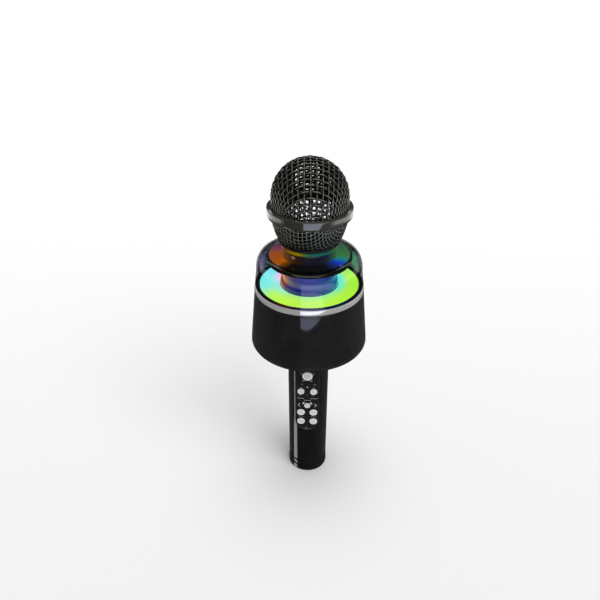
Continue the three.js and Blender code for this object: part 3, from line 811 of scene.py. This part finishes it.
def speaker_foot():
    """The base ring: a flat underside with a fine groove, and a step that the sleeve stands on."""
    z0, step, inner, r = low("speaker_base").z, 123.2, 14.95, SLEEVE_R
    outline = [(inner, z0), (17, z0), (17.2, z0 + 0.3), (17.6, z0 + 0.3), (17.8, z0), (38.3, z0),
               (r - 0.5, z0 + 0.5), (r, z0 + 1.6), (r, step), (38.9, step), (38.9, step + 2.1),
               (37.2, step + 2.1), (37.2, step + 0.1), (inner, step + 0.1)]
    ring("base_ring", outline, 0.3, SATIN_BLACK, "shell_black", "speaker_base")


# ---- Handle ----
def panel_outline(inset, steps=28):
    """The pocket's outline in X and Z, 0.3 outside the panel: round below, with small corners above."""
    half, corner = PANEL_HALF + 0.3 - inset, 2.5
    round_z, top = PANEL_LOW + PANEL_HALF, PANEL_TOP + 0.3 - inset
    outline = arc(0, round_z, half, half, 180, 360, steps)
    outline += arc(half - corner, top - corner, corner, corner, 0, 90, 8)
    outline += arc(-half + corner, top - corner, corner, corner, 90, 180, 8)
    return outline


def on_panel(x):
    """The depth of the panel's front face at a distance from its middle line."""
    return PANEL_FRONT + PANEL_CURVE - sqrt(PANEL_CURVE ** 2 - x * x)


def panel_bevel():
    """A closed band round the panel that cuts its front edge back to a slope, level with the handle."""
    wide, deep, spare, ahead = 0.4, 0.4, 1.6, PANEL_AHEAD - 2
    rows = []
    for (xa, za), (xb, zb) in zip(panel_outline(0.3 + wide * spare), panel_outline(0.3 - wide)):
        rows.append([(xa, on_panel(xa) - deep * (spare - 1), za), (xb, on_panel(xb) + deep * 2, zb),
                     (xb, ahead, zb), (xa, ahead, za)])
    return loft(rows, closed=True, flip=True)


BUTTONS = [name + "_button" for name in ("power", "play", "previous", "next", "record", "mode")]
KNOBS = ["volume_knob", "echo_knob"]


def handle():
    """The tube with its pocket, and the crowned panel cut for its buttons, slots and lamp."""
    bore, foot_bore, foot_r, shelf = 12.4, 12.2, 13.2, 11
    behind, past = -5, 20         # depths that cuts through the panel reach
    lower_r = high("tail_ring").x
    tube = [(foot_bore, HANDLE_LOW), (foot_r, HANDLE_LOW), (foot_r, WAIST + 0.3),
            (lower_r - 0.2, WAIST + 0.35), (lower_r + 0.01, WAIST + 0.55), (HANDLE_R, HANDLE_TOP),
            (bore, HANDLE_TOP), (bore, shelf), (foot_bore, shelf)]
    made = piece("handle_shell", *turned(tube), GLOSS_BLACK, "handle_black", ["handle_tube"])
    carved(made, "DIFFERENCE", slab(panel_outline(0), PANEL_AHEAD, behind))

    blank = slab(panel_outline(0.3), PANEL_AHEAD, PANEL_BACK)
    plate = piece("panel_face", *blank, PANEL_BLACK, "panel_black", ["panel_plate"])
    crown = Matrix.Translation((0, PANEL_FRONT + PANEL_CURVE, (PANEL_LOW + PANEL_TOP) / 2))
    reach, facets = PANEL_TOP - PANEL_LOW, 720
    carved(plate, "INTERSECT", placed(rod(PANEL_CURVE, -reach, reach, facets), crown))
    carved(plate, "DIFFERENCE", panel_bevel())

    def hole(node, radius, around=64):
        return placed(rod(radius, -past, past, around), facing_front(middle(node)))

    cutters = [hole(name, high(name).x - middle(name).x - FLANGE + 0.3) for name in BUTTONS]
    for name in KNOBS:
        spot, width, reach = middle(name), 1.1, 4.5
        slot = oblong(spot.x - width, spot.x + width, spot.z - reach, spot.z + reach)
        cutters.append(slab(slot, -past, behind))
    carved(plate, "DIFFERENCE", *cutters, hole("status_lamp", 0.55, 32))

    outline = panel_outline(0.5, 60)
    rim = [(Vector((x, on_panel(x) + 0.15, z)), Vector((0, -1, 0))) for x, z in outline + outline[:1]]
    piece("panel_rim", *swept([rim], 0.16, 8), RIM_GREY, "panel_black")


def key(name, cap_name, r, skirt, *stems):
    """A push button or slider cap: a bright rim of radius r round a sunken, finely dimpled face."""
    front, where = -low(name).y, facing_front(middle(name))
    cap = skirt + [(r, front - 0.45)] + arc(r - 0.4, front - 0.4, 0.4, 0.4, 0, 90, 6)
    cap += [(r * 0.76, front), (r * 0.7, front - 0.06), (r * 0.66, front - 0.3), (0, front - 0.3)]
    face = [(0, front - 0.32), (r * 0.66, front - 0.32), (r * 0.66, front - 0.2), (r * 0.6, front - 0.14),
            (r * 0.3, front - 0.2), (0, front - 0.22)]
    rim = merged(placed(domed(cap, 64), where), *stems)
    piece(cap_name, *rim, BUTTON_PEARL, "button_silver", [name], body=name)
    piece(cap_name + "_face", *placed(domed(face, 64), where), BUTTON_FACE, "button_silver", body=name)


def buttons():
    for name in BUTTONS:
        r, back = high(name).x - middle(name).x - FLANGE, -high(name).y
        skirt = [(0, back), (r + FLANGE, back), (r + FLANGE, back + 0.7), (r, back + 0.7)]
        key(name, name.replace("button", "key"), r, skirt)
    for name in KNOBS:
        spot, back = middle(name), 13.4
        r = high(name).x - spot.x
        post = oblong(spot.x - 0.8, spot.x + 0.8, spot.z - 1.2, spot.z + 1.2)
        skirt = [(0, back), (r - 0.25, back), (r, back + 0.25)]
        key(name, name.replace("knob", "cap"), r, skirt, slab(post, -back - 0.1, high(name).y))
    front, back, r = -low("status_lamp").y, -high("status_lamp").y, high("status_lamp").x
    lens = [(0, back), (r, back), (r, front - 0.3)] + arc(0, front - 0.3, r, 0.3, 10, 90, 5)
    lamp = placed(domed(lens, 32), facing_front(middle("status_lamp")))
    piece("status_lens", *lamp, LAMP_WHITE, "milky_lens", ["status_lamp"])


def stroke(points, width):
    """A printed line that follows the panel's face through (x, z) points, as a thin raised strip."""
    step, lift, root = 0.5, 0.03, -0.05
    fine = []
    for (x0, z0), (x1, z1) in zip(points, points[1:]):
        parts = max(1, ceil(hypot(x1 - x0, z1 - z0) / step))
        fine += [(x0 + (x1 - x0) * i / parts, z0 + (z1 - z0) * i / parts) for i in range(parts)]
    fine.append(points[-1])
    rows, last = [], len(fine) - 1
    for k, (x, z) in enumerate(fine):
        (xa, za), (xb, zb) = fine[max(k - 1, 0)], fine[min(k + 1, last)]
        size = hypot(xb - xa, zb - za)
        nx, nz = (za - zb) / size * width / 2, (xb - xa) / size * width / 2
        edges = [(x + nx * sign, z + nz * sign, rise)
                 for sign, rise in ((1, lift), (-1, lift), (-1, root), (1, root))]
        rows.append([(px, on_panel(px) - rise, pz) for px, pz, rise in edges])
    return loft(rows)


def dash(x, z, long, wide):
    return stroke([(x - long / 2, z), (x + long / 2, z)], wide)


def marks():
    """Plain signs beside the controls: slanted strokes, dashes, chevrons, plus and minus. None is a letter.
    """
    power, play, row = (middle(name).z for name in ("power_button", "play_button", "previous_button"))
    bright, soft, dim = [], [], []
    for side, node in ((-1, "volume_knob"), (1, "echo_knob")):
        knob = middle(node)
        bright.append(stroke([(side * 3.5, play + 1.3), (side * 2.2, play + 3.2)], 0.8))
        chevron = [(side * 5.2, play + 1.9), (side * 6.9, play + 0.2), (side * 5.2, play - 1.5)]
        bright.append(stroke(chevron, 0.26))
        soft.append(stroke([(side * 4.5, power + 2.6), (side * 4.0, power + 1.2)], 0.4))
        soft.append(dash(side * 2.85, power - 4.4, 1.5, 0.6))
        soft += [dash(side * 5.0 + k * 1.3, play + 6.8, 0.9, 0.55) for k in (-1.5, -0.5, 0.5, 1.5)]
        plus = [(knob.x + 0.7, knob.z + 4.8), (knob.x + 0.7, knob.z + 6.2)]
        dim += [dash(knob.x + 0.7, knob.z + 5.5, 1.8, 0.5), stroke(plus, 0.5)]
        dim.append(dash(knob.x - 0.8, knob.z - 4.9, 1.6, 0.5))
        dim += [dash(side * 4.65 + k * 1.3, row - 4.1, 0.9, 0.7) for k in (-1, 0, 1)]
    soft += [dash(k * 1.3, play + 5.1, 0.9, 0.55) for k in (-1.5, -0.5, 0.5, 1.5)]
    dim.append(dash(0, middle("status_lamp").z - 7.3, 1.2, 0.5))
    foot = 44.5
    dim += [dash(-0.35, foot, 2.7, 0.6), dash(-0.6, foot + 1.4, 1.2, 0.6)]
    piece("marks_bright", *merged(*bright), PRINT_WHITE, "button_silver")
    piece("marks_soft", *merged(*soft), PRINT_GREY, "button_silver")
    piece("marks_dim", *merged(*dim), PRINT_DIM, "panel_black")


# ---- Tail ----
def tail():
    """The band and the cap at the tail, with its sockets cut through and two sunken screws."""
    ring_low, ring_top, ring_r = span("tail_ring")
    _, cap_top, cap_r = span("tail_cap")
    cap_r += 0.25
    seam_low, seam_top, seal_r = ring_low + 0.4, ring_top - 0.4, ring_r - 0.45
    band = oblong(13.5, ring_r, seam_low, seam_top)
    ring("tail_band", band, 0.2, GLOSS_BLACK, "handle_black", "tail_ring")
    for end, z0, z1 in (("low", cap_top - 0.3, seam_low), ("high", seam_top, WAIST + 0.3)):
        ring("tail_seal_" + end, oblong(13.3, seal_r, z0, z1), 0.1, FOAM_BLACK, "seal_rubber")
    floor, wall = 2.4, 13.5
    cap = [(0.0, 0.0), (14.0, 0.0), (14.35, 0.12), (cap_r, 0.5), (cap_r, 0.9), (cap_r, cap_top - 0.5),
           (cap_r - 0.2, cap_top - 0.3), (wall, cap_top - 0.3), (wall, floor), (0.0, floor)]
    made = piece("tail_end", *domed(cap, AROUND), GLOSS_BLACK, "handle_black", ["tail_cap"])

    def under(node):
        return Matrix.Translation((middle(node).x, middle(node).y, 0))

    tools = []
    for node, inset, soft in (("charge_socket", 0.1, 1.2), ("card_socket", 0.3, 0.6)):
        a, b = low(node), high(node)
        opening = oblong(a.x + inset, b.x - inset, a.y + inset, b.y - inset)
        tools.append(pit(rounded(opening, soft, 6)))
    tools.append(placed(rod(2.2, -1, 5), under("aux_socket")))
    screws = ("tail_screw_1", "tail_screw_2")
    sink = [(0, -1), (2.3, -1), (2.3, 1.6), (1.3, 1.7), (1.3, 5), (0, 5)]
    carved(made, "DIFFERENCE", *tools, *(placed(domed(sink), under(name)) for name in screws))

    for name in screws:
        spot, (z0, z1, _) = middle(name), span(name)
        screw = [(0, z0 + 0.25), (0.35, z0), (1.6, z0), (2, z0 + 0.3), (2, z0 + 0.9), (0.95, z0 + 0.95),
                 (0.95, z1 - 0.6), (0, z1)]
        shape = placed(domed(screw), under(name))
        made = piece(name + "_head", *shape, INNER_STEEL, "inner_steel", [name])
        long, wide = 1.2, 0.2
        cross = (oblong(spot.x - a, spot.x + a, spot.y - b, spot.y + b)
                 for a, b in ((long, wide), (wide, long)))
        carved(made, "DIFFERENCE", *(pit(slot, z0 + 0.5) for slot in cross))


# ---- Inner nodes that keep their CAD shape ----
INNER = {
    SATIN_BLACK: ["neck_tube", "led_deck", "speaker_cage", "driver_deck", "sound_deflector", "aux_socket"],
    BOARD_GREEN: ["led_board", "main_board", "tail_board"],
    INNER_STEEL: ["handle_nut", "driver_basket", "driver_magnet", "charge_socket", "card_socket"],
    RUBBER_BLACK: ["volume_slider", "echo_slider", "driver_surround", "battery_pad", "head_cable",
                   "speaker_cable", "battery_cable"],
    CONE_CARD: ["driver_cone"],
    CELL_WRAP: ["battery_cell"],
}


def inner_parts():
    for finish, names in INNER.items():
        for name in names:
            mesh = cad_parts[name].data
            mesh.materials.clear()
            mesh.materials.append(finish)


# ---- Stage, light and camera ----
def stage():
    """A wide sheet of white paper, with painted shade that makes it a little darker towards the viewer."""
    side = 40
    floor = meshed("floor", [(x, y, 0) for x, y in oblong(-side, side, -side, side)], [(0, 1, 2, 3)])
    n = material("floor_paper")
    # Painted shade: the paper's colour falls off towards the viewer.
    reach = n.share(n.parts(n.place)[1], -0.2, 0.8)
    shade = n.ramp(reach, [(at, v, v, v) for at, v in
                           ((0.0, 0.83), (0.21, 0.86), (0.35, 0.89), (0.6, 0.93), (1.0, 0.94))])
    paper = n.mix(n.noise(0.6, 2), (0.99, 0.99, 0.99, 1), (1, 1, 1, 1))
    floor.data.materials.append(n.plastic(Base_Color=n.mix(1.0, shade, paper, "MULTIPLY"), Roughness=0.9,
                                          Specular_IOR_Level=0.0))
    floor.visible_glossy = False


def sun_light(name, azimuth, elevation, spread, strength):
    """Light from an azimuth, 0 in front, at -Y, and 90 on the right, at +X. Spread is the sun's width."""
    data = bpy.data.lights.new(name, "SUN")
    data.energy, data.angle = strength, radians(spread)
    a, e = radians(azimuth), radians(elevation)
    toward = Vector((sin(a) * cos(e), -cos(a) * cos(e), sin(e)))
    lamp = linked(name, data)
    lamp.rotation_euler = toward.to_track_quat("Z", "Y").to_euler()
    lamp.visible_glossy = False


def card(name, verts, faces, strength, color=(1, 1, 1, 1), fade=None):
    """A glowing sheet that shows only in the object's gloss.

    With fade, two distances to the front, its light goes from none at the first to whole at the second.
    """
    sheet = meshed(name, verts, faces)
    n = material(name)
    soft = n.between(n.noise(3, 1), strength * 0.95, strength * 1.05)
    if fade:
        ahead = n.math("MULTIPLY", n.parts(n.place)[1], -1)
        soft = n.math("MULTIPLY", soft, n.share(ahead, fade[1], fade[0], 1, 0))
    glow = n.make("Emission", Color=color, Strength=soft)
    sheet.data.materials.append(n.finish(glow))
    sheet.visible_camera = sheet.visible_diffuse = sheet.visible_shadow = False


def curved_card(name, first, last, radius, z_low, z_high, strength, fade=None):
    """A band of light round the object between two azimuths, 0 in front and 90 on its right.

    Between the two angles from the front given as fade, its light grows from nothing to the whole.
    """
    steps = 24
    turns = [radians(first + (last - first) * k / steps) for k in range(steps + 1)]
    verts = [(sin(a) * radius, -cos(a) * radius, z) for a in turns for z in (z_low, z_high)]
    faces = [(2 * k, 2 * k + 2, 2 * k + 3, 2 * k + 1) for k in range(steps)]
    limits = fade and [radius * cos(radians(a)) for a in fade]
    card(name, verts, faces, strength, fade=limits)


def world_light():
    """Even light for rough surfaces, a dark room for gloss to reflect, and a pale wall for the camera."""
    world = bpy.data.worlds.new("studio")
    bpy.context.scene.world = world
    n = Nodes(world)
    direction = n.parts(n.places["Generated"])

    def greys(part, stops):
        return n.ramp(n.share(part, -1, 1), [((at + 1) / 2, v, v, v) for at, v in stops])

    depth = greys(direction[1], [(-1, 0.02), (-0.35, 0.03), (0.1, 0.08), (1, 0.1)])
    height = greys(direction[2], [(-1, 1), (-0.25, 0.9), (0.1, 0.2), (1, 0.25)])
    gloss = n.make("Background", Color=n.mix(1.0, depth, height, "MULTIPLY"))
    soft = n.make("Background", Color=(1, 1, 1, 1), Strength=0.36)
    seen = n.make("Background", Color=(0.93, 0.93, 0.93, 1))
    ray = n.add("LightPath").outputs
    lit = n.make("MixShader", i0=ray["Is Glossy Ray"], i1=soft, i2=gloss)
    view = n.make("MixShader", i0=ray["Is Camera Ray"], i1=lit, i2=seen)
    n.feed(n.add("OutputWorld"), Surface=view)


def lights():
    world_light()
    sun_light("key", 44, 49, 42, 1.4)
    sun_light("overhead", 170, 85, 42, 1.22)

    tongue = [(-0.212, 0.2), (-0.209, 0.002), (-0.197, -0.009), (-0.175, -0.003), (-0.11, 0.007),
              (-0.045, 0.018), (0.015, 0.026), (0.045, 0.033), (0.062, 0.04), (0.078, 0.05), (0.13, 0.058),
              (0.21, 0.063), (0.225, 0.079), (0.225, 0.083), (0.225, 0.2)]
    front, turn = -0.34, Matrix.Rotation(radians(18), 4, "Z")
    card("front_card", [turn @ Vector((x, front, z)) for x, z in tongue], [tuple(range(len(tongue)))], 3.1,
         (0.68, 0.73, 1.0, 1))
    half, back, height = 0.34, 0.12, 1.2
    square = [(x, y - back, height) for x, y in oblong(-half, half, -half, half)]
    card("top_card", square, [(0, 1, 2, 3)], 1.5, (1.0, 1.0, 0.88, 1))

    near, foot, top = 0.2, 0.127, 0.21
    curved_card("left_card", -145, -62, near, foot, top, 2.0, (62, 80))
    curved_card("right_card", 52, 145, near, foot, top, 1.9, (52, 70))
    curved_card("back_card", 145, 215, near, foot, top, 1.1)
    curved_card("ledge_card", 140, 220, near, 0.314, 0.37, 2.1)
    far, split = 1.2, -1.1
    curved_card("low_card", -91, -66, far, -2.2, split, 2.7)
    curved_card("low_card_top", -86, -64.5, far, split, -0.8, 2.7)


def camera():
    data = bpy.data.cameras.new("camera")
    data.lens, data.sensor_width = CAMERA_LENS, 36
    data.clip_start = 0.01
    view = linked("camera", data)
    turn = Matrix.Rotation(radians(FRONT_TURN), 4, "Z")
    tilt = Matrix.Rotation(radians(90 - CAMERA_DOWN), 4, "X")
    view.matrix_world = turn @ Matrix.Translation(CAMERA_PLACE) @ tilt
    bpy.context.scene.camera = view


camera()
lights()
stage()
inner_parts()
head()
capsule()
neck()
light_chamber()
sleeve()
speaker_foot()
handle()
buttons()
marks()
tail()

bpy.context.scene.view_settings.view_transform = "Standard"
bpy.context.view_layer.update()
